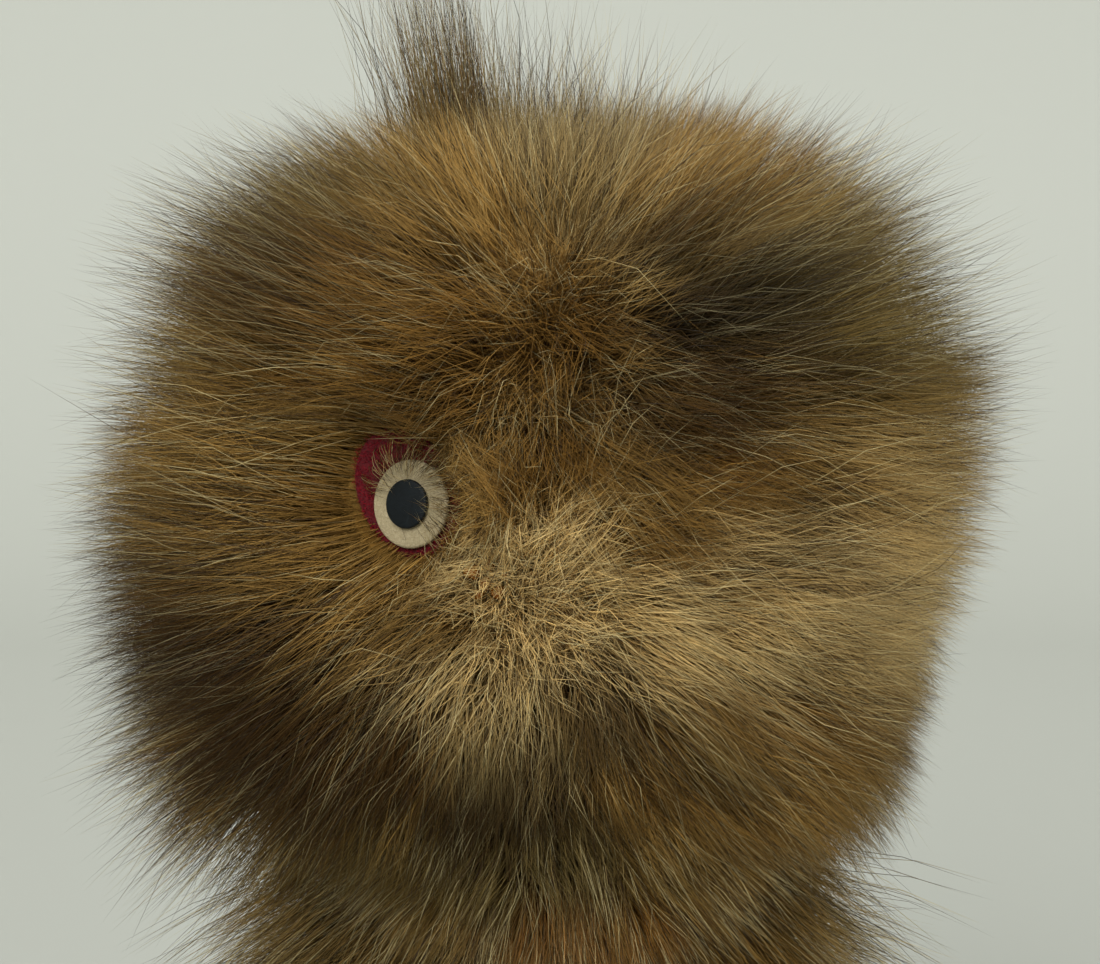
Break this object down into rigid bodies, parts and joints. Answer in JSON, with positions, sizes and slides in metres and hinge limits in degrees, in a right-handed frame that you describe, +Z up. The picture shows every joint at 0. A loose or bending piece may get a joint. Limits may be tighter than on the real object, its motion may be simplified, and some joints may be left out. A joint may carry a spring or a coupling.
{
  "type": "moving mouth hand puppet",
  "caption": "Shaggy furry hand puppet head with a hinged mouth, two disc eyes and an upright crown tuft, on a fur sleeve that the forearm fills.",
  "frame": {"origin": "middle of the bounding box at the hem, on the table the sleeve stands on", "axes": "+Z up the puppet, -Y the way its face looks, +X to the right of someone facing the puppet"},
  "size_m": [0.168, 0.16, 0.3],
  "materials": {
    "fur": "long mottled tan, grey and cream fur",
    "fur_dark": "long dark grey-brown fur",
    "lining_cloth": "plain woven cotton",
    "binding_tape": "woven tape",
    "foam": "open-cell foam, yellowed",
    "red_felt": "dark red wool felt",
    "card": "stiff grey-brown card",
    "eye_cream": "cream felt-like disc, slightly shiny",
    "eye_black": "blue-black, satin"
  },
  "bodies": {
    "sleeve": {"sleeve_pelt": "fur", "sleeve_lining": "lining_cloth", "hem_binding": "binding_tape", "neck_pelt": "fur"},
    "neck_lower": {"neck_elastic": "binding_tape"},
    "neck_upper": {"neck_binding": "lining_cloth"},
    "head": {"skull_foam": "foam", "face_pelt": "fur", "back_pelt": "fur_dark", "crown_tuft": "fur_dark", "head_lining": "lining_cloth", "upper_mouth_board": "card", "upper_palate_felt": "red_felt", "finger_pocket": "lining_cloth", "mouth_hinge_roll": "red_felt", "eye_felt_right": "red_felt", "eye_felt_left": "red_felt", "eye_white_right": "eye_cream", "eye_white_left": "eye_cream", "eye_pupil_right": "eye_black", "eye_pupil_left": "eye_black"},
    "jaw": {"lower_mouth_board": "card", "lower_palate_felt": "red_felt", "chin_foam": "foam", "chin_pelt": "fur", "thumb_pocket": "lining_cloth", "tongue": "red_felt"}
  },
  "joints": [
    {"name": "head_turn", "type": "hinge", "parent": "sleeve", "child": "neck_lower", "pos_m": [0, 0.022, 0.104], "axis": [0, 0, 1], "range_deg": [-30, 30], "deforming": ["neck_pelt"]},
    {"name": "head_tilt", "type": "hinge", "parent": "neck_lower", "child": "neck_upper", "pos_m": [0, 0.022, 0.104], "axis": [0, 1, 0], "range_deg": [-12, 12], "deforming": ["neck_pelt"]},
    {"name": "head_nod", "type": "hinge", "parent": "neck_upper", "child": "head", "pos_m": [0, 0.022, 0.104], "axis": [1, 0, 0], "range_deg": [-15, 15], "deforming": ["neck_pelt"]},
    {"name": "jaw_open", "type": "hinge", "parent": "head", "child": "jaw", "pos_m": [0, -0.004, 0.153], "axis": [1, 0, 0], "range_deg": [0, 28], "stiffness_Nm_per_rad": 0.03, "springref_deg": -20.05}
  ]
}
